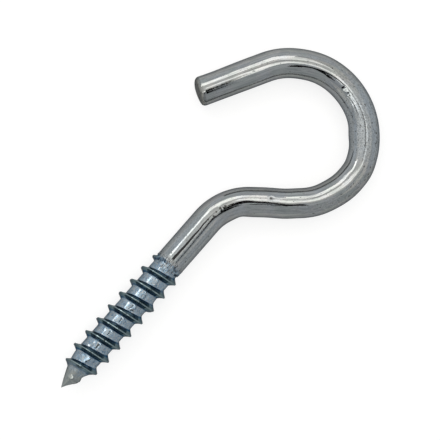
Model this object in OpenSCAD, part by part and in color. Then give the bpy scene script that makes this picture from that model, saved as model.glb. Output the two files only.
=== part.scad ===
// Screw hook of zinc-plated steel wire: an open round hook on a pointed wood-screw thread.
// Millimetres. The origin is on the screw's axis at the shoulder, where thread meets plain wire.
// +X runs from the point to the hook, and the hook lies on its side with +Z up.

/* [Wire] */
// Diameter of the wire that the hook is bent from
wire_d = 5.8; // [5:0.1:7]

/* [Screw thread] */
// From the point to the shoulder
thread_l = 31; // [24:0.5:45]
// Distance from one crest to the next
pitch = 3.21; // [2.6:0.05:4]
// Depth of the root below the wire's surface
root_depth = 0.32; // [0.15:0.01:0.6]
// Height of the fin above the root
fin_h = 1.1; // [0.8:0.05:1.4]
// Width of the fin where it leaves the root
fin_w = 1.32; // [0.9:0.05:1.8]
// Flat along the fin's crest
crest_w = 0.12; // [0.08:0.01:0.3]
// Depth to which each flank hollows in
hollow_depth = 0.07; // [0.02:0.01:0.12]
// Length over which the core tapers to the point
point_l = 8; // [6:0.5:12]
// From the point to where the fin starts to rise
fin_start = 2; // [1.2:0.1:3]
// From the point to where the helix first crosses the +Y side
fin_first = 1.5; // [0:0.1:3]
// Length over which the fin rises to its full height
fin_rise = 4.4; // [3:0.2:7]
// Length over which the fin runs out at the shoulder
run_out = 1; // [0.7:0.1:2]
// Length of the cone from the root up to the plain wire
shoulder_l = 0.55; // [0.3:0.05:1]

/* [Hook] */
// Plain straight wire above the shoulder
shank_l = 10.8; // [7:0.5:20]
// Centreline radius of the neck, which leans the hook to one side
neck_r = 10.9; // [8:0.2:14]
// Angle that the neck turns through
neck_angle = 49.3; // [40:0.5:56]
// Straight wire from the neck to the bow
reach_l = 9.85; // [7:0.1:14]
// Centreline radius of the bow's first arc
low_r = 12.7; // [10:0.1:16]
// Angle of the bow's first arc
low_angle = 107; // [90:0.5:115]
// Centreline radius of the bow's second arc
top_r = 14.4; // [12:0.1:18]
// Angle of the bow's second arc
top_angle = 94.6; // [80:0.2:105]
// Straight wire at the free end
end_l = 13.8; // [8:0.2:18]
// Broken edge round the sheared free end
end_chamfer = 0.5; // [0.2:0.05:0.9]

/* [Hidden] */

wire_r = wire_d / 2;
core_r = wire_r - root_depth;
crest_r = core_r + fin_h;
point_x = -thread_l;
groove_end = -shoulder_l;

// Facets round the wire, and round a whole turn of a bend.
wire_sides = 64;
bend_sides = 160;
// How far joined pieces run into each other, and how much fatter a bend is than straight wire.
lap = 0.06;
lap_step = 0.02;
// Straight wire between the bow's two arcs.
bow_join = 0.3;

// The thread's mesh: columns round the core, rows along one pitch, and steps up the helix, which
// starts lead_in turns before the point so that its first turn closes on to the tip.
columns = 48;
rows = 8;
lead_in = 2;
turns = ceil(thread_l / pitch) + lead_in + 1;
steps = turns * columns;
core_end = groove_end / 2;
// The fin keeps this much width where it has no height, so no two points coincide.
least_w = 0.25;
// Rings this close to the core's end, or to the tip, close on to it.
end_gap = 0.04;
tip_gap = 0.32;

// The underside bears on a crest about this far before the shoulder and on the bow's far side,
// so the hook rests with its point tipped up by lie_a.
crest_rest = 1.5 * pitch;
bow_x = shank_l + (neck_r + low_r) * sin(neck_angle) + reach_l * cos(neck_angle)
    + (low_r - top_r) * sin(low_angle - neck_angle) + bow_join * cos(low_angle - neck_angle);
bow_far = bow_x + top_r;
lie_a = asin(max(0, crest_r - wire_r) / (bow_far + crest_rest));

// Wire bends and straights, each of which carries what follows at its far end. A bend laps a
// little over the straight wire at both of its ends, so that the pieces join as one solid.
module straight(l) {
  rotate([0, 90, 0]) cylinder(h = l, r = wire_r, $fn = wire_sides);
  translate([l, 0, 0]) children();
}

module arc(r, a) {
  over = 180 * lap / (PI * r);
  rotate([0, 0, -90 - over])
    rotate_extrude(angle = a + 2 * over, $fn = bend_sides)
      translate([r, 0]) circle(r = wire_r + lap_step, $fn = wire_sides);
}

module bend_left(r, a) {
  translate([0, r, 0]) {
    arc(r, a);
    rotate([0, 0, a]) translate([0, -r, 0]) children();
  }
}

module bend_right(r, a) {
  translate([0, -r, 0]) {
    rotate([180, 0, 0]) arc(r, a);
    rotate([0, 0, -a]) translate([0, r, 0]) children();
  }
}

module sheared_end() {
  rotate([0, 90, 0])
    cylinder(h = end_chamfer, r1 = wire_r, r2 = wire_r - end_chamfer, $fn = wire_sides);
}

module wire_hook() {
  straight(shank_l) bend_right(neck_r, neck_angle)
    straight(reach_l) bend_left(low_r, low_angle)
      straight(bow_join) bend_left(top_r, top_angle)
        straight(end_l - end_chamfer) sheared_end();
}

// The cone starts a lap below the core's surface, and the core ends halfway along it, inside.
module shoulder() {
  translate([groove_end - lap, 0, 0]) rotate([0, 90, 0])
    cylinder(h = shoulder_l + lap, r1 = core_r - lap * root_depth / shoulder_l, r2 = wire_r,
      $fn = wire_sides);
}

// Radius of the core and share of the fin's full height, at x along the axis.
function core(x) = core_r * sin(90 * min(1, max(0, x - point_x) / point_l));
function rise(x) = sin(90 * min(1, max(0, x - point_x - fin_start) / fin_rise));
function fall(x) = min(1, max(0, -x) / run_out);
function fin(x) = min(rise(x), fall(x));

// One section through the fin and the root after it: [place along the axis, height above the core].
// x is the fin's middle, and h its share of the full height.
function section(x, h) =
  let (foot = max(least_w, fin_w * h) / 2, crest = max(least_w / 2, crest_w) / 2,
       waist = (foot + crest) / 2, gap = pitch - 2 * foot)
  [
    [x - foot, 0],
    [x - waist + hollow_depth * h, fin_h * h / 2],
    [x - crest, fin_h * h],
    [x + crest, fin_h * h],
    [x + waist - hollow_depth * h, fin_h * h / 2],
    [x + foot, 0],
    [x + foot + gap / 3, 0],
    [x + foot + gap * 2 / 3, 0],
  ];

// Place of the fin's middle along the axis at step s of the right-handed helix.
function helix_x(s) = point_x + fin_first + pitch * (s / columns - lead_in);

function thread_points() = [
  for (s = [0:steps]) let (a = 360 * s / columns, x = helix_x(s))
    for (p = section(x, fin(x)))
      let (r = core(p[0]) + p[1]) [p[0], r * cos(a), r * sin(a)],
  for (c = [0:columns - 1]) let (a = 360 * c / columns) [core_end, core_r * cos(a), core_r * sin(a)],
  [point_x, 0, 0],
];

rim_at = (steps + 1) * rows;
tip_at = rim_at + columns;

// Index of row j at step s. Row "rows" is row 0 one turn on. Rings past an end close on to it.
function at(s, j) = j < rows ? closed(s, j) : closed(s + columns, j - rows);
function closed(s, j) =
  let (x = section(helix_x(s), fin(helix_x(s)))[j][0])
  x > core_end - end_gap ? rim_at + s % columns
  : x < point_x + tip_gap ? tip_at
  : s * rows + j;

function thread_faces() = [
  for (s = [0:steps - 1]) for (j = [0:rows - 1])
    let (p = at(s, j), q = at(s, j + 1), r = at(s + 1, j + 1), t = at(s + 1, j))
    each [
      if (p != q && q != r && p != r) [p, q, r],
      if (p != r && r != t && p != t) [p, r, t],
    ],
  [for (c = [columns - 1:-1:0]) rim_at + c],
];

module thread() {
  polyhedron(points = thread_points(), faces = thread_faces(), convexity = 12);
}

module screw_hook() {
  color([0.74, 0.76, 0.78]) rotate([0, lie_a, 0]) {
    wire_hook();
    shoulder();
    thread();
  }
}

screw_hook();
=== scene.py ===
# A zinc-plated screw hook: bent wire with a rolled wood-screw thread, lying on a white table.
import math

import bpy
import numpy as np
from mathutils import Matrix, Vector, noise


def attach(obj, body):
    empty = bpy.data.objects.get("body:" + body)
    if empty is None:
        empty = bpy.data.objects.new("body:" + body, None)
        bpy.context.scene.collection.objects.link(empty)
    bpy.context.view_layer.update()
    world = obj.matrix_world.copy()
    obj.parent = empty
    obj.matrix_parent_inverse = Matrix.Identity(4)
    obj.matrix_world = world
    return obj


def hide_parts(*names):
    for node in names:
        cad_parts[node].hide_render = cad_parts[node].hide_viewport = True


mm = 0.001
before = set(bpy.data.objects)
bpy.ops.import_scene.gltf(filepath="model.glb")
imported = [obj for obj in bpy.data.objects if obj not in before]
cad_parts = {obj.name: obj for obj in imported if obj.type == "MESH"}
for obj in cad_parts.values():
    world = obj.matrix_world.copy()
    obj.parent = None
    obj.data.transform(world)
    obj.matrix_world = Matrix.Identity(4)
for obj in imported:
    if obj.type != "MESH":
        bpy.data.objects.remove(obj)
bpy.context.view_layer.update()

# the wire, in millimetres and degrees, in the order in which it is bent
wire = {
    "diameter": 5.8,
    "shank": 10.8,
    "neckRadius": 10.9,
    "neckTurn": 49.3,
    "reach": 9.85,
    "lowRadius": 12.7,
    "lowTurn": 107.0,
    "join": 0.3,
    "topRadius": 14.4,
    "topTurn": 94.6,
    "freeEnd": 13.8,
    "brokenEdge": 0.62,
    "sides": 96,
    "ringSpacing": 0.35,
    "edgeSteps": 3,
    # rings on the flat end, as shares of the wire's radius
    "endRings": (0.72, 0.6, 0.45, 0.3, 0.15),
    "sharpAngle": 45,
}

# the rolled thread, in millimetres and in shares
thread = {
    "length": 31.0,
    "pitch": 3.21,
    "rootDepth": 0.32,
    "finHeight": 1.09,
    "finWidth": 1.5,
    "crestWidth": 0.16,
    "flankCurve": 1.6,
    "pointLength": 8.0,
    "finStart": 2.0,
    "finRise": 4.4,
    "finFirst": 1.5,
    "runOut": 1.0,
    "shoulder": 0.4,
    "fatterSide": 0.28,
    "fatterFrom": 0.6,
    # the tip is cut off here, and what is left this near to the end is drawn together in one point
    "tipCut": 0.03,
    "tipGather": 0.031,
    "spareTurns": 2,
    # turns from the shank down to the crest that it lies on
    "restTurns": 1.5,
    # rows of points down a flank, and from its foot to the middle of the root
    "flankRows": (0.93, 0.82, 0.68, 0.53, 0.38, 0.24, 0.12, 0.0),
    "rootRows": (0.25, 0.5, 0.75, 1.0),
}
# two points closer than this are one
mergeGap = 0.002

wireR = wire["diameter"] / 2
coreR = wireR - thread["rootDepth"]
crestR = coreR + thread["finHeight"]
firstFin = -thread["length"] + thread["finFirst"]


def deselectAll():
    if bpy.context.object and bpy.context.object.mode != "OBJECT":
        bpy.ops.object.mode_set(mode="OBJECT")
    bpy.ops.object.select_all(action="DESELECT")


def makeActive(piece):
    deselectAll()
    piece.select_set(True)
    bpy.context.view_layer.objects.active = piece


def selectPoints(piece, wanted):
    # wanted is a test of a point's place, in millimetres
    bpy.ops.object.mode_set(mode="OBJECT")
    for part in (piece.data.polygons, piece.data.edges, piece.data.vertices):
        part.foreach_set("select", [False] * len(part))
    for point in piece.data.vertices:
        point.select = wanted(point.co / mm)
    bpy.ops.object.mode_set(mode="EDIT")
    bpy.ops.mesh.select_mode(type="VERT")


# the bends as drawn on paper: straights and arcs, each with its start and heading
def bendPlan():
    steps = [
        ("straight", wire["shank"], 0),
        ("arc", wire["neckRadius"], -wire["neckTurn"]),
        ("straight", wire["reach"], 0),
        ("arc", wire["lowRadius"], wire["lowTurn"]),
        ("straight", wire["join"], 0),
        ("arc", wire["topRadius"], wire["topTurn"]),
        ("straight", wire["freeEnd"] - wire["brokenEdge"], 0),
    ]
    plan, at, heading, run = [], Vector((0, 0, 0)), 0.0, 0.0
    for kind, size, turn in steps:
        ahead = Vector((math.cos(heading), math.sin(heading), 0))
        left = Vector((-ahead.y, ahead.x, 0))
        leg = {"kind": kind, "size": size, "run": run}
        leg.update(start=at.copy(), ahead=ahead, left=left)
        if kind == "straight":
            leg["length"] = size
            at = at + ahead * size
        else:
            angle = math.radians(turn)
            side = 1 if angle > 0 else -1
            leg.update(angle=angle, side=side, centre=at + left * side * size)
            leg["length"] = abs(angle) * size
            at = leg["centre"] + Matrix.Rotation(angle, 3, "Z") @ (at - leg["centre"])
            heading += angle
        run += leg["length"]
        plan.append(leg)
    return plan, at, Vector((math.cos(heading), math.sin(heading), 0))


plan, tipOfWire, endHeading = bendPlan()
wireLength = sum(leg["length"] for leg in plan) + wire["brokenEdge"]
bow = plan[-2]
bowFar = bow["centre"].x + bow["size"]
# it lies on the far side of the bow and on a crest of the thread
lie = math.asin((crestR - wireR) / (bowFar + thread["restTurns"] * thread["pitch"]))


# a ring is pulled along the straights and spun round the bends, as the wire runs
def makeWire():
    across = (0, math.pi / 2, 0)
    bpy.ops.mesh.primitive_circle_add(vertices=wire["sides"], radius=wireR * mm, rotation=across)
    piece = bpy.context.object
    bpy.ops.object.transform_apply(location=True, rotation=True, scale=True)
    bpy.ops.object.mode_set(mode="EDIT")
    bpy.ops.mesh.select_all(action="SELECT")
    for leg in plan:
        rings = max(2, round(leg["length"] / wire["ringSpacing"]))
        if leg["kind"] == "straight":
            pull = leg["ahead"] * leg["length"] / rings * mm
            for ring in range(rings):
                bpy.ops.mesh.extrude_region_move(TRANSFORM_OT_translate={"value": pull})
        else:
            centre = leg["centre"] * mm
            bpy.ops.mesh.spin(steps=rings, angle=-leg["angle"], center=centre, axis=(0, 0, 1))
    closeEnd()
    bpy.ops.object.mode_set(mode="OBJECT")
    return piece


# the sheared end: a rounded edge, then a flat face drawn in to its middle
def closeEnd():
    at = tipOfWire * mm
    size = 1.0
    edge = wire["brokenEdge"]
    turn = 90 / wire["edgeSteps"]
    for step in range(wire["edgeSteps"]):
        a, b = math.radians(step * turn), math.radians((step + 1) * turn)
        pull = endHeading * edge * (math.sin(b) - math.sin(a)) * mm
        wanted = (wireR - edge * (1 - math.cos(b))) / wireR
        bpy.ops.mesh.extrude_region_move(TRANSFORM_OT_translate={"value": pull})
        at = at + pull
        bpy.ops.transform.resize(value=(wanted / size,) * 3, center_override=at)
        size = wanted
    for wanted in wire["endRings"]:
        bpy.ops.mesh.extrude_region_move(TRANSFORM_OT_translate={"value": (0, 0, 0)})
        bpy.ops.transform.resize(value=(wanted / size,) * 3, center_override=at)
        size = wanted
    bpy.ops.mesh.extrude_region_move(TRANSFORM_OT_translate={"value": (0, 0, 0)})
    bpy.ops.mesh.merge(type="CENTER")


def finSection():
    # half of the fin from its crest down to the root, then the flat root: [along, height]
    foot, crest, high = thread["finWidth"] / 2, thread["crestWidth"] / 2, thread["finHeight"]
    half = [[crest, high]]
    for share in thread["flankRows"]:
        half.append([foot - (foot - crest) * share, high * share ** thread["flankCurve"]])
    rest = thread["pitch"] / 2 - foot
    half += [[foot + rest * share, 0] for share in thread["rootRows"]]
    return [[-x, h] for x, h in reversed(half)] + half


# one pitch of the thread's outline is wound round the core by a Screw modifier
def makeThread():
    section = finSection()
    # wound too long at both ends, then cut
    turns = math.ceil(thread["length"] / thread["pitch"]) + thread["spareTurns"] + 1
    first = firstFin - thread["spareTurns"] * thread["pitch"]
    # a plane shrunk to one point, which is pulled along the outline
    bpy.ops.mesh.primitive_plane_add(size=mm)
    piece = bpy.context.object
    bpy.ops.object.mode_set(mode="EDIT")
    bpy.ops.mesh.merge(type="CENTER")
    place = Vector(((first + section[0][0]) * mm, (coreR + section[0][1]) * mm, 0))
    bpy.ops.transform.translate(value=place)
    for (x0, h0), (x1, h1) in zip(section, section[1:]):
        step = ((x1 - x0) * mm, (h1 - h0) * mm, 0)
        bpy.ops.mesh.extrude_region_move(TRANSFORM_OT_translate={"value": step})
    bpy.ops.object.mode_set(mode="OBJECT")
    winding = piece.modifiers.new("winding", "SCREW")
    winding.axis = "X"
    winding.screw_offset = thread["pitch"] * mm
    winding.iterations = turns
    winding.steps = winding.render_steps = wire["sides"]
    bpy.ops.object.modifier_apply(modifier="winding")
    bpy.ops.object.mode_set(mode="EDIT")
    bpy.ops.mesh.select_all(action="SELECT")
    bpy.ops.mesh.remove_doubles(threshold=mergeGap * mm)
    cutAt((-thread["length"] + thread["tipCut"]) * mm, clearBelow=True)
    cutAt(-thread["shoulder"] * mm, clearBelow=False)
    bpy.ops.object.mode_set(mode="OBJECT")
    return piece


def cutAt(x, clearBelow):
    bpy.ops.mesh.select_all(action="SELECT")
    bpy.ops.mesh.bisect(plane_co=(x, 0, 0), plane_no=(1, 0, 0), clear_inner=clearBelow,
                        clear_outer=not clearBelow, threshold=1e-7)


def coreAt(fromPoint):
    share = np.clip(fromPoint / thread["pointLength"], 0, 1)
    return coreR * np.sin(np.pi / 2 * share)


def finShare(fromPoint, x):
    rise = np.sin(np.pi / 2 * np.clip((fromPoint - thread["finStart"]) / thread["finRise"], 0, 1))
    fall = np.clip(-x / thread["runOut"], 0, 1)
    return np.minimum(rise, fall)


def readPoints(mesh):
    flat = np.empty(len(mesh.vertices) * 3)
    mesh.vertices.foreach_get("co", flat)
    return flat.reshape(-1, 3) / mm


def writePoints(mesh, points):
    mesh.vertices.foreach_set("co", (points * mm).ravel())
    mesh.update()


# the core narrows to the point, the fin rises from it and runs out at the shoulder
def taperThread(piece):
    points = readPoints(piece.data)
    x, y, z = points.T
    radius = np.hypot(y, z)
    fromPoint = x + thread["length"]
    height = np.clip(radius - coreR, 0, None) * finShare(fromPoint, x)
    wanted = coreAt(fromPoint) + height
    points[:, 1] = y / radius * wanted
    points[:, 2] = z / radius * wanted
    # the fins came out of the dies a little fatter on the -Y side
    turn = (x - firstFin) / thread["pitch"] - np.arctan2(z, y) / (2 * np.pi)
    side = (1 - y / radius) / 2 * np.clip(-x / thread["runOut"] - thread["fatterFrom"], 0, 1)
    points[:, 0] += thread["fatterSide"] * np.sin(2 * np.pi * turn) * side * finShare(fromPoint, x)
    writePoints(piece.data, points)


def joinPieces(body, other):
    makeActive(body)
    other.select_set(True)
    bpy.ops.object.join()
    selectPoints(body, lambda p: p.x < -thread["length"] + thread["tipGather"])
    bpy.ops.mesh.merge(type="CENTER")
    # the two open rims, at the foot of the shoulder and at its top
    low, high = -thread["shoulder"] - mergeGap / 2, mergeGap / 2
    selectPoints(body, lambda p: low < p.x < high and abs(p.y) < crestR)
    bpy.ops.mesh.select_mode(type="EDGE")
    bpy.ops.mesh.select_non_manifold(extend=False)
    bpy.ops.mesh.bridge_edge_loops(number_cuts=3)
    bpy.ops.mesh.select_all(action="SELECT")
    bpy.ops.mesh.normals_make_consistent(inside=False)
    bpy.ops.object.mode_set(mode="OBJECT")
    return body


# straightens the wire on paper: how far along it a point is, and how far to the left and up of its middle
def straighten(points):
    along = points.copy()
    leftOf = np.tile([0.0, 1.0, 0.0], (len(points), 1))
    nearest = np.where(points[:, 0] <= 0, np.hypot(points[:, 1], points[:, 2]), np.inf)
    for leg in plan:
        start, ahead, left = (np.array(leg[key]) for key in ("start", "ahead", "left"))
        if leg["kind"] == "straight":
            reach = (points - start) @ ahead
            last = leg is plan[-1]
            run = np.clip(reach, 0, None if last else leg["length"])
            middle = start + run[:, None] * ahead
            leftHere = np.tile(left, (len(points), 1))
        else:
            centre, side = np.array(leg["centre"]), leg["side"]
            out = (points - centre)[:, :2]
            first = (start - centre)[:2]
            swept = np.arctan2(first[0] * out[:, 1] - first[1] * out[:, 0], out @ first) * side
            swept = np.clip(swept, 0, abs(leg["angle"]))
            run = swept * leg["size"]
            turn = swept * side
            spoke = np.stack([first[0] * np.cos(turn) - first[1] * np.sin(turn),
                              first[0] * np.sin(turn) + first[1] * np.cos(turn), 0 * turn], 1)
            middle = centre + spoke
            leftHere = -spoke / leg["size"] * side
        gap = np.linalg.norm(points - middle, axis=1)
        if leg is plan[0]:
            gap = np.where(points[:, 0] < 0, np.inf, gap)
        closer = gap < nearest - 1e-6
        nearest = np.where(closer, gap, nearest)
        offset = ((points - middle) * leftHere).sum(1)
        along[closer] = np.stack([leg["run"] + run, offset, points[:, 2]], 1)[closer]
        leftOf[closer] = leftHere[closer]
    return along, leftOf


# nothing rolled and bent by machine is perfect: all in millimetres, but for the lip's angles
hand = {
    "waveDepth": 0.016,
    "waveSize": (8.0, 1.3, 1.3),
    "drawDepth": 0.009,
    "drawSize": (8.0, 0.5, 0.5),
    "drawFrom": -0.6,
    "rootDepth": 0.03,
    "rootSize": (0.9, 0.9, 0.9),
    "crestWear": 0.13,
    "crestSize": (1.2, 1.2, 1.2),
    # the burr where the thread runs out, between two places along the wire
    "burrDepth": 0.2,
    "burrSize": (0.35, 0.8, 0.8),
    "burrEnds": (-2.2, 0.6),
    "burrMiddle": -0.6,
    "burrFade": 1.6,
    "burrUnderLip": 0.6,
    "shearDepth": 1.4,
    "shearPush": 0.22,
    "shearSlant": 0.1,
    "shearRound": 0.3,
    "lipLength": 0.95,
    "lipEdge": 0.12,
    "lipAngle": 185,
    "lipSpread": 62,
    "lipFade": 12,
    # no mark goes deeper than this share of the wire's radius, and dents fade this steeply
    "deepest": 0.8,
    "dentFall": 1.5,
}
seeds = {"wave": 3.1, "draw": 1.7, "root": 1.7, "crest": 5.5, "burr": 8.3}

# dents and swellings, in millimetres and degrees: place along the wire, less than nothing on the thread,
# angle round it from its left side up, reach, height, and push along the axis
dents = (
    (-8.7, 180, 1.0, 0.55, -0.35),
    (-8.1, 160, 0.8, 0.12, 0),
    (-28.5, 183, 0.75, 0.42, 0),
    (-29.3, 185, 0.8, 0.16, 0),
    (-25.3, 180, 0.8, 0.12, -0.12),
    (-12.0, 95, 0.7, -0.18, 0),
    (-15.2, 75, 0.5, -0.12, 0.1),
    (-21.6, 60, 0.6, -0.15, 0),
    (-24.6, 105, 0.5, -0.14, -0.1),
    (-0.8, 70, 0.7, 0.10, 0),
    (-0.3, 120, 0.6, -0.10, 0),
    (-1.2, 145, 0.45, -0.12, 0),
    (18.0, 180, 2.0, -0.19, 0),
    (50.6, 0, 2.8, 0.24, 0),
    (60.0, 0, 6.0, 0.08, 0),
    (88.0, 180, 5.0, -0.12, 0),
    (23.8, 75, 0.3, -0.1, 0),
    (61.0, 71, 0.35, -0.1, 0),
    (59.5, 69, 0.3, -0.1, 0),
    (12.6, 84, 0.4, -0.08, 0),
    (13.9, 84, 0.5, 0.08, 0),
)

# where the bender left the wire a little to one side: place along it, reach, and how far to the left
sways = (
    (27.0, 3.2, -0.2),
    (36.5, 3.5, 0.16),
    (44.0, 2.2, -0.12),
    (50.5, 3.2, 0.08),
    (70.5, 4.0, 0.11),
)


def cloudAt(place, name):
    sizes, seed = hand[name + "Size"], seeds[name]
    return noise.noise(Vector(place[i] / sizes[i] + seed * (i + 1) for i in range(3)))


def fade(gap):
    # 1 in the middle of a dent and next to nothing past its reach
    return np.exp(-gap ** 2 * hand["dentFall"])


def roughenByHand(piece):
    points = readPoints(piece.data)
    along, leftOf = straighten(points)
    out = leftOf * along[:, 1:2] + np.array([0, 0, 1.0]) * along[:, 2:3]
    radius = np.linalg.norm(along[:, 1:], axis=1)
    thinnest = 0.01
    out = out / np.maximum(radius, thinnest)[:, None]
    x = points[:, 0]
    core = np.maximum(coreAt(x + thread["length"]), 5 * thinnest)
    fin = np.where(x < 0, np.clip((radius - core) / thread["finHeight"], 0, 1), 0)
    move = np.zeros(len(points))
    # a lip of plain wire stands over the thread on one side
    turned = np.degrees(np.arctan2(points[:, 2], points[:, 1])) - hand["lipAngle"]
    turned = np.abs((turned + 180) % 360 - 180)
    lip = np.clip((x + hand["lipLength"]) / hand["lipEdge"], 0, 1)
    lip *= np.clip((hand["lipSpread"] - turned) / hand["lipFade"], 0, 1)
    move += np.where(x < 0, np.clip(wireR - radius, 0, None) * lip, 0)
    low, high = hand["burrEnds"]
    for i, place in enumerate(along):
        move[i] += hand["waveDepth"] * cloudAt(place, "wave") * min(1, radius[i])
        if place[0] > hand["drawFrom"]:
            move[i] += hand["drawDepth"] * cloudAt(place, "draw")
        else:
            move[i] += hand["rootDepth"] * cloudAt(place, "root") * min(1, radius[i])
        worn = 0.5 + cloudAt(place, "crest")
        move[i] -= hand["crestWear"] * max(0, worn) * fin[i] ** 2
        if low < place[0] < high:
            near = 1 - abs(place[0] - hand["burrMiddle"]) / hand["burrFade"]
            near *= 1 - hand["burrUnderLip"] * lip[i]
            move[i] += hand["burrDepth"] * cloudAt(place, "burr") * max(0, near)
    pushed = np.zeros(len(points))
    for at, angle, reach, height, push in dents:
        a = math.radians(angle)
        root = wireR if at > 0 else coreAt(at + thread["length"])
        spot = np.array([at, math.cos(a) * root, math.sin(a) * root])
        near = fade(np.linalg.norm(along - spot, axis=1) / reach)
        move += height * near
        pushed += push * near
    move = np.maximum(move, -hand["deepest"] * radius)
    points += out * move[:, None]
    points[:, 0] += pushed
    for at, reach, shift in sways:
        points += leftOf * (shift * fade((along[:, 0] - at) / reach))[:, None]
    # the shears left the free end out of square, with its outer corner worn round
    nearEnd = np.clip((along[:, 0] - wireLength + hand["shearDepth"]) / hand["shearDepth"], 0, 1)
    across = along[:, 1] / wireR
    push = hand["shearPush"] + hand["shearSlant"] * across
    push -= hand["shearRound"] * np.clip(-across, 0, 1) ** 3
    points += np.array(endHeading) * (push * nearEnd)[:, None]
    writePoints(piece.data, points)
    place = piece.data.attributes.new("along", "FLOAT_VECTOR", "POINT")
    place.data.foreach_set("vector", (along * mm).ravel())
    share = piece.data.attributes.new("fin", "FLOAT", "POINT")
    share.data.foreach_set("value", fin)


deselectAll()
body = makeWire()
print("wire bent:", len(body.data.vertices), "points")
deselectAll()
winding = makeThread()
taperThread(winding)
print("thread rolled:", len(winding.data.vertices), "points")
screwHook = joinPieces(body, winding)
roughenByHand(screwHook)
screwHook.name = screwHook.data.name = "screwHook"
screwHook.data.transform(Matrix.Rotation(lie, 4, "Y"))
makeActive(screwHook)
bpy.ops.object.shade_smooth_by_angle(angle=math.radians(wire["sharpAngle"]))
print("hook joined:", len(screwHook.data.polygons), "faces")


# one socket, so that shader maths reads as plain sums
class Flow:
    def __init__(self, bench, socket):
        self.bench = bench
        self.socket = socket

    def maths(self, operation, *values):
        return self.bench.node("ShaderNodeMath", {"operation": operation}, dict(enumerate(values)))

    def __add__(self, other):
        return self.maths("ADD", self, other)

    def __radd__(self, other):
        return self.maths("ADD", other, self)

    def __sub__(self, other):
        return self.maths("SUBTRACT", self, other)

    def __rsub__(self, other):
        return self.maths("SUBTRACT", other, self)

    def __mul__(self, other):
        return self.maths("MULTIPLY", self, other)

    def __rmul__(self, other):
        return self.maths("MULTIPLY", other, self)

    def between(self, low, high):
        # 0 at low, 1 at high and a smooth slope from one to the other
        ends = {0: self, 1: low, 2: high}
        return self.bench.node("ShaderNodeMapRange", {"interpolation_type": "SMOOTHSTEP"}, ends)


class Bench:
    def __init__(self, owner):
        owner.use_nodes = True
        self.tree = owner.node_tree
        self.tree.nodes.clear()

    def node(self, kind, settings, inputs=None, out=0):
        made = self.tree.nodes.new(kind)
        for key, value in settings.items():
            setattr(made, key, value)
        for key, value in (inputs or {}).items():
            if isinstance(value, Flow):
                self.tree.links.new(value.socket, made.inputs[key])
            else:
                made.inputs[key].default_value = value
        return Flow(self, made.outputs[out]) if made.outputs else made

    def blend(self, share, first, second):
        colours = {0: share, 6: first, 7: second}
        return self.node("ShaderNodeMix", {"data_type": "RGBA"}, colours, 2)

    def layered(self, colour, *layers):
        # each layer is how much of it shows and the name of its colour
        for share, name in layers:
            colour = self.blend(share, colour, plate[name])
        return colour

    def cloud(self, place, sizes, detail, roughness):
        scales = tuple(1 / (size * mm) for size in sizes)
        where = self.node("ShaderNodeVectorMath", {"operation": "MULTIPLY"}, {0: place, 1: scales})
        inputs = {"Vector": where, "Scale": 1.0, "Detail": detail, "Roughness": roughness}
        return self.node("ShaderNodeTexNoise", {}, inputs)


plate = {
    "wireColour": (0.36, 0.362, 0.36, 1),
    "brightColour": (0.44, 0.445, 0.44, 1),
    "greenColour": (0.32, 0.35, 0.335, 1),
    "filmColour": (0.345, 0.38, 0.41, 1),
    "stainColour": (0.205, 0.222, 0.228, 1),
    "speckColour": (0.05, 0.05, 0.045, 1),
    "paintedDarkLineColour": (0.012, 0.012, 0.012, 1),
    "threadColour": (0.265, 0.365, 0.455, 1),
    "navyAndShadeColour": (0.035, 0.1, 0.175, 1),
    "crestColour": (0.185, 0.26, 0.285, 1),
    "tipColour": (0.29, 0.31, 0.295, 1),
    "shearedColour": (0.29, 0.29, 0.265, 1),
    "edgeTint": (0.3, 0.315, 0.335, 1),
    "roughness": 0.05,
    "lineRough": 0.12,
    "stainRough": 0.06,
    "grainRough": 0.06,
    "dullRough": 0.07,
    "threadRough": 0.05,
    "scuffRough": 0.12,
    "shearedRough": 0.25,
    # depths in millimetres
    "lineDepth": 0.004,
    "streakDepth": 0.004,
    "broadDepth": 0.005,
    "grainDepth": 0.0025,
    "speckDepth": 0.02,
    "darkLineGroove": 0.03,
    "shearedDepth": 0.05,
    "rolledDepth": 0.024,
    "scuffDepth": 0.1,
    # a near-black line, a painted dark reflection, runs up the top of the shank: its place across the
    # wire, ends and half widths
    "paintedDarkLine": (0.34, 0.5, 13.5, 0.25, 0.09),
    "darkLineWander": 0.35,
    "darkLineEdge": 0.03,
    # place along the wire, angle round it, and size
    "pits": (
        (15.0, 84, 0.30),
        (14.5, 84, 0.22),
        (14.0, 81, 0.30),
        (13.0, 84, 0.2),
        (10.9, 84, 0.22),
        (23.8, 75, 0.28),
        (59.9, 72, 0.22),
        (59.2, 69, 0.20),
        (44.4, 96, 0.22),
        (50.8, 126, 0.20),
    ),
    # stretches along the wire, in millimetres: where each begins, is full, is still full and ends
    "fleckedBow": (30, 35, 63, 70),
    "dullBow": (43, 49, 57, 63),
    # these have a beginning and a place where they are full
    "dullNeck": (14, 8),
    "threadEdge": (0.3, -0.4),
    "wornTip": (-25.5, -28.0),
    "scuffBelow": (-2.0, -0.9),
    "scuffAbove": (1.2, 0.2),
    # across the wire, from its left side to its right
    "outerSide": (0.5, -0.7),
    # back from the cut end
    "shearedFace": (-0.3, -0.1),
    "shearedRim": (-0.7, -0.5),
    # how far these edges wander, in millimetres
    "edgeWander": 1.8,
    "shearedWander": 0.3,
    "tipWander": 3.0,
    "pitWander": 0.4,
}

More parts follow.
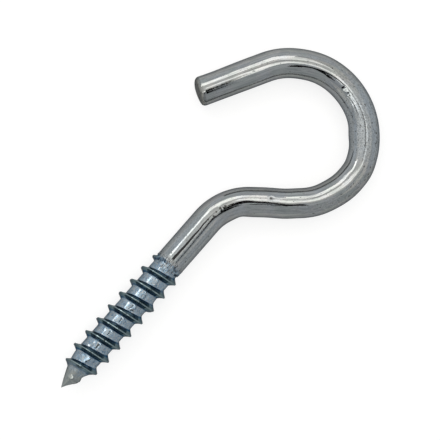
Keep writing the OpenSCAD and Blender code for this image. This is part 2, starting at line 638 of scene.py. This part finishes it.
# soft noise: how long, wide and high its spots are in millimetres, its detail and its roughness
clouds = {
    "ragged": ((0.8, 0.5, 0.5), 3.0, 0.5),
    "lines": ((9.0, 0.2, 0.2), 3.0, 0.6),
    "streaks": ((4.0, 0.42, 0.42), 3.0, 0.6),
    "broad": ((7.0, 0.8, 0.8), 2.0, 0.5),
    "grain": ((0.5, 0.28, 0.28), 3.0, 0.65),
    "fine": ((0.3, 0.2, 0.2), 2.0, 0.6),
    "stains": ((3.0, 1.3, 1.3), 4.0, 0.65),
    "specks": ((0.6, 0.3, 0.3), 1.0, 0.5),
    "scratch": ((1.1, 0.24, 0.24), 2.0, 0.7),
    "mottle": ((0.7, 0.7, 0.7), 4.0, 0.7),
    "patches": ((3.2, 3.2, 3.2), 2.0, 0.5),
    "wander": ((2.5, 6.0, 6.0), 3.0, 0.6),
}


def inMetres(sizes):
    return [size * mm for size in sizes]


def stretch(run, ends):
    begins, full, stillFull, gone = inMetres(ends)
    return run.between(begins, full) * run.between(gone, stillFull)


# bright zinc on drawn wire: fine lines along it, faint stains, and a bluer film on the thread
def zincPlate():
    material = bpy.data.materials.new("zincPlate")
    bench = Bench(material)
    along = bench.node("ShaderNodeAttribute", {"attribute_name": "along"}, out="Vector")
    fin = bench.node("ShaderNodeAttribute", {"attribute_name": "fin"}, out="Fac")
    run, across, up = (bench.node("ShaderNodeSeparateXYZ", {}, {0: along}, i) for i in range(3))

    # drawn lines, grain and stains, all in the wire's own length
    spots = {name: bench.cloud(along, *made) for name, made in clouds.items()}
    lines, streaks, grain, fine = (spots[name] for name in ("lines", "streaks", "grain", "fine"))
    scratch, mottle, patches = (spots[name] for name in ("scratch", "mottle", "patches"))
    stains = spots["stains"].between(0.5, 0.7)

    # where the thread, the scuffed shoulder and the dull stretches are
    edge = run + (spots["ragged"] - 0.5) * (plate["edgeWander"] * mm)
    onThread = edge.between(*inMetres(plate["threadEdge"]))
    scuffed = edge.between(*inMetres(plate["scuffBelow"])) * edge.between(*inMetres(plate["scuffAbove"]))
    dull = stretch(run, plate["dullBow"])
    dull = dull + run.between(*inMetres(plate["dullNeck"])) * (1 - onThread) * 0.6
    # the outside of the bow is flecked further round than its face is
    outer = across.between(*inMetres(plate["outerSide"])) * stretch(run, plate["fleckedBow"])
    flecked = dull + outer * (1 - dull) * 0.85
    specks = (spots["specks"] + flecked * 0.07).between(0.72, 0.79)

    # the cut face of the free end and the dark rim round it
    fromEnd = run - wireLength * mm
    sheared = fromEnd + (grain - 0.5) * (plate["shearedWander"] * mm)
    sheared = sheared.between(*inMetres(plate["shearedFace"]))
    rim = fromEnd.between(*inMetres(plate["shearedRim"])) * (1 - sheared)

    # the painted dark reflection line on the top half of the wire, wide by the thread and fading up the
    # shank, over a shallow groove in the bump
    place, low, high, wide, narrow = inMetres(plate["paintedDarkLine"])
    aside = across + (spots["wander"] - 0.5) * (plate["darkLineWander"] * mm) - place
    aside = aside.maths("ABSOLUTE", aside)
    halfWidth = wide + run.between(low, high) * (narrow - wide)
    soft = plate["darkLineEdge"] * mm
    paintedDarkLine = (halfWidth - aside).between(-soft, soft) * run.between(low, low * 2)
    paintedDarkLine = paintedDarkLine * run.between(high, high * 0.75) * up.between(0, 0.5 * mm)

    # single pits, each a dark speck
    pits = 0
    for at, angle, size in plate["pits"]:
        turn = math.radians(angle)
        spot = inMetres((at, math.cos(turn) * wireR, math.sin(turn) * wireR))
        gap = bench.node("ShaderNodeVectorMath", {"operation": "DISTANCE"}, {0: along, 1: spot}, "Value")
        gap = gap + (fine - 0.5) * (plate["pitWander"] * mm)
        pits = pits + gap.between(size * mm, size * 0.5 * mm)

    # plain wire
    bare = bench.layered(
        plate["wireColour"],
        (patches.between(0.45, 0.58) * 0.6, "greenColour"),
        (patches.between(0.48, 0.38) * 0.4 + dull * 0.8, "filmColour"),
        (stains * 0.5, "stainColour"),
        (streaks.between(0.47, 0.56) * (0.45 - flecked * 0.3), "stainColour"),
        (fine.between(0.5, 0.6) * (0.28 + flecked * 0.5), "stainColour"),
        (mottle.between(0.55, 0.66) * flecked * 0.45, "stainColour"),
        (lines.between(0.5, 0.4) * (0.45 - flecked * 0.3), "brightColour"),
        (mottle.between(0.45, 0.36) * flecked * 0.5, "brightColour"),
        # painted dark reflection: a near-black line up the top of the shank
        (paintedDarkLine * 0.95, "paintedDarkLineColour"),
        (pits * 0.9, "speckColour"),
        (sheared, "shearedColour"),
        (sheared * mottle.between(0.5, 0.62) * 0.7 + rim * 0.35, "speckColour"),
    )
    # the thread is blue in its roots with navy mottle, paler on its crests and worn to grey at the tip;
    # the feet of its flanks get painted shade in dark navy
    # painted shade: a dark navy band low on each fin, where it meets the root
    flank = (fin + (grain - 0.5) * 0.2).between(0.03, 0.12)
    flank = flank * (fin + (grain - 0.5) * 0.3).between(0.5, 0.26)
    tip = edge + (patches - 0.5) * (plate["tipWander"] * mm)
    tip = tip.between(*inMetres(plate["wornTip"]))
    rolled = bench.layered(
        plate["threadColour"],
        (mottle.between(0.46, 0.62) * 0.6, "navyAndShadeColour"),
        (fine.between(0.48, 0.56) * 0.7, "brightColour"),
        (fin.between(0.3, 0.55), "crestColour"),
        # painted shade on the feet of the flanks
        (flank * (0.4 + patches.between(0.35, 0.6) * 0.55), "navyAndShadeColour"),
        (fin.between(0.55, 0.9) * 0.25, "tipColour"),
        (tip * 0.85, "tipColour"),
        (tip * grain.between(0.52, 0.62) * 0.5, "shearedColour"),
    )
    colour = bench.layered(
        bench.blend(onThread, bare, rolled),
        (specks * 0.8, "speckColour"),
        (scuffed * scratch.between(0.5, 0.62) * 0.85, "speckColour"),
        (scuffed * scratch.between(0.42, 0.34) * 0.7, "wireColour"),
    )

    rough = plate["roughness"] + (lines - 0.5) * plate["lineRough"] + stains * plate["stainRough"]
    rough = rough + (grain - 0.5) * plate["grainRough"] + dull * plate["dullRough"]
    rough = rough + onThread * plate["threadRough"] + scuffed * plate["scuffRough"]
    rough = rough + sheared * plate["shearedRough"]
    height = lines * plate["lineDepth"] + spots["broad"] * plate["broadDepth"]
    height = height + streaks * plate["streakDepth"]
    height = height + (grain + fine) * plate["grainDepth"] * (1 + dull * 2 + onThread * 3)
    height = height + onThread * mottle * plate["rolledDepth"] + sheared * mottle * plate["shearedDepth"]
    height = height - paintedDarkLine * plate["darkLineGroove"] - specks * plate["speckDepth"]
    height = height + scuffed * scratch * plate["scuffDepth"]
    bump = bench.node("ShaderNodeBump", {}, {"Strength": 1.0, "Distance": mm, "Height": height})
    surface = {
        "Base Color": colour,
        "Metallic": 1.0,
        "Roughness": rough,
        "Specular Tint": plate["edgeTint"],
        "Normal": bump,
    }
    shader = bench.node("ShaderNodeBsdfPrincipled", {}, surface)
    bench.node("ShaderNodeOutputMaterial", {}, {"Surface": shader})
    return material


screwHook.data.materials.clear()
screwHook.data.materials.append(zincPlate())
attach(screwHook, "root")
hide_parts("screw_hook")

# the camera looks almost straight down, turned so that the screw points to the lower left
view = {
    "aim": Vector((12.69, -1.78, 0)) * mm,
    "back": Vector((-0.10380, 0.11704, 0.98769)),
    "up": Vector((0.74815, 0.66353, 0)),
    "distance": 370 * mm,
    "lens": 158.9,
    "sensor": 36,
    "clipStart": 10 * mm,
}


def placeCamera():
    back = view["back"].normalized()
    right = view["up"].cross(back).normalized()
    up = back.cross(right)
    bpy.ops.object.camera_add()
    camera = bpy.context.object
    turn = Matrix((right, up, back)).transposed()
    camera.matrix_world = Matrix.Translation(view["aim"] + back * view["distance"]) @ turn.to_4x4()
    camera.data.lens = view["lens"]
    camera.data.sensor_width = view["sensor"]
    camera.data.clip_start = view["clipStart"]
    bpy.context.scene.camera = camera
    return right, up, back


right, up, back = placeCamera()

# a light tent of soft boxes and lamps: how far off each stands in metres, how far right of the camera
# and above it in degrees, how wide and tall it looks from the hook and how far it leans to the left,
# in degrees too, and how bright its middle and its edge are
lamps = {
    "softBox": (0.70, -6, 14.5, 100, 57, 20, 1.2, 0.95),
    "softLow": (0.69, -10, -3, 20, 24, -8, 1.4, 1.2),
    "softRight": (0.68, 47, 10, 20, 70, 8, 1.05, 0.85),
    "softLeft": (0.67, -37, -42, 36, 24, 0, 0.9, 0.8),
    "lampTop": (0.66, -1, 46.5, 42, 18, 1, 2.6, 2.5),
    "lampLeft": (0.65, -24, 31.5, 20, 11, 41, 3.5, 3.2),
    "lampRight": (0.64, 24, 33, 13, 20, 8, 2.0, 1.9),
    "lampLow": (0.62, -7, -14.8, 44, 8.5, 22, 2.4, 3.2),
    "lampNear": (0.117, 26.7, 14.4, 7.8, 10.5, 0, 2.4, 2.3),
    "lampNearTop": (0.118, 20.2, 22.8, 6.2, 17, 48, 2.4, 2.3),
    "softGrey": (0.121, 21.4, 32.1, 16, 3.8, -25, 0.75, 0.7),
    "softNear": (0.0972, -8.3, 8.9, 17, 8.2, 38, 1.4, 1.3),
}
# black cloths, placed in the same way
cloths = {
    "clothNear": (0.1026, 21.7, 4.6, 5.8, 21, 19),
    "clothSide": (0.110, 27.8, -12.0, 5.7, 12.4, 15),
    "clothLow": (0.60, 9, -23.5, 26, 8, 37),
    "clothThread": (0.0965, -7.4, -7.0, 12.4, 12, 43),
}
studio = {
    "lampColour": (1.0, 0.98, 0.945, 1),
    "lampFade": (0.15, 0.6),
    "clothColour": (0.01, 0.01, 0.01, 1),
    # cards nearer than this, in metres, only show in the metal
    "nearBy": 0.3,
    "wallColour": (0.965, 1.0, 1.03, 1),
    "wallLow": 0.58,
    "wallHigh": 0.84,
    "wallFade": (-0.95, 0.65),
    "tableSize": 6,
    "tableShade": 0.32,
    "tableGlow": 0.735,
    # how bright the table is in the metal, by the thread and past the bow, and where that changes
    "tableInMetal": (0.5, 0.74),
    "tableFade": (0.03, 0.055),
}


# a flat sheet facing the hook
def card(name, distance, side, lift, wide, tall, lean, material):
    off = Vector((side, lift))
    away = math.radians(off.length)
    ways = (right * off.x + up * off.y).normalized()
    facing = -(back * math.cos(away) + ways * math.sin(away))
    upright = (up - facing * up.dot(facing)).normalized()
    upright = Matrix.Rotation(math.radians(-lean), 3, facing) @ upright
    across = upright.cross(-facing)
    bpy.ops.mesh.primitive_plane_add(size=1)
    sheet = bpy.context.object
    sheet.name = sheet.data.name = name
    turn = Matrix((across, upright, -facing)).transposed().to_4x4()
    sizes = [2 * distance * math.tan(math.radians(angle) / 2) for angle in (wide, tall)]
    place = Matrix.Translation(view["aim"] - facing * distance)
    sheet.matrix_world = place @ turn @ Matrix.Diagonal((*sizes, 1, 1))
    sheet.data.materials.append(material)
    sheet.visible_camera = False
    sheet.visible_diffuse = sheet.visible_shadow = distance > studio["nearBy"]


# brighter in its middle, as most lamps are
def glowing(name, middle, edge):
    material = bpy.data.materials.new(name)
    bench = Bench(material)
    place = bench.node("ShaderNodeTexCoord", {}, out="Object")
    fromMiddle = bench.node("ShaderNodeVectorMath", {"operation": "LENGTH"}, {0: place}, "Value")
    strength = middle + fromMiddle.between(*studio["lampFade"]) * (edge - middle)
    glow = {"Color": studio["lampColour"], "Strength": strength}
    shader = bench.node("ShaderNodeEmission", {}, glow)
    bench.node("ShaderNodeOutputMaterial", {}, {"Surface": shader})
    return material


def black():
    material = bpy.data.materials.new("blackCloth")
    bench = Bench(material)
    shader = bench.node("ShaderNodeBsdfDiffuse", {}, {"Color": studio["clothColour"]})
    bench.node("ShaderNodeOutputMaterial", {}, {"Surface": shader})
    return material


def lightStudio():
    for name, (*place, middle, edge) in lamps.items():
        card(name, *place, glowing(name + "Glow", middle, edge))
    cloth = black()
    for name, place in cloths.items():
        card(name, *place, cloth)


def dotted(bench, place, way):
    return bench.node("ShaderNodeVectorMath", {"operation": "DOT_PRODUCT"}, {0: place, 1: way}, "Value")


# the walls of the studio are a plain grey, lighter above the hook than below it
def paintWalls():
    world = bpy.data.worlds.new("studioWalls")
    bpy.context.scene.world = world
    bench = Bench(world)
    lift = dotted(bench, bench.node("ShaderNodeTexCoord", {}, out="Generated"), up)
    low, high = studio["wallLow"], studio["wallHigh"]
    strength = low + lift.between(*studio["wallFade"]) * (high - low)
    glow = {"Color": studio["wallColour"], "Strength": strength}
    shader = bench.node("ShaderNodeBackground", {}, glow)
    bench.node("ShaderNodeOutputWorld", {}, {"Surface": shader})


def layTable():
    lowest = min(point.co.z for point in screwHook.data.vertices)
    bpy.ops.mesh.primitive_plane_add(size=studio["tableSize"], location=(0, 0, lowest))
    table = bpy.context.object
    table.name = table.data.name = "table"
    material = bpy.data.materials.new("tableWhite")
    bench = Bench(material)
    rays = ("Is Camera Ray", "Is Glossy Ray", "Is Transmission Ray")
    camera, glossy, through = (bench.node("ShaderNodeLightPath", {}, {}, ray) for ray in rays)
    # in the metal the table's glow is painted dimmer than it looks to the camera, most by the thread, a
    # painted shade, and less past the bow, a painted pool of light
    lift = dotted(bench, bench.node("ShaderNodeTexCoord", {}, out="Object"), up)
    near, far = studio["tableInMetal"]
    paintedPool = near + lift.between(*studio["tableFade"]) * (far - near)
    mirrored = glossy.maths("MAXIMUM", glossy, through) * paintedPool
    seen = camera.maths("MAXIMUM", camera, mirrored)
    shade = studio["tableShade"]
    diffuse = bench.node("ShaderNodeBsdfDiffuse", {}, {"Color": (shade, shade, shade, 1)})
    white = {"Color": (1, 1, 1, 1), "Strength": seen * studio["tableGlow"]}
    glow = bench.node("ShaderNodeEmission", {}, white)
    both = bench.node("ShaderNodeAddShader", {}, {0: diffuse, 1: glow})
    bench.node("ShaderNodeOutputMaterial", {}, {"Surface": both})
    table.data.materials.append(material)


lightStudio()
paintWalls()
layTable()
bpy.context.scene.view_settings.view_transform = "Standard"
print("studio set")
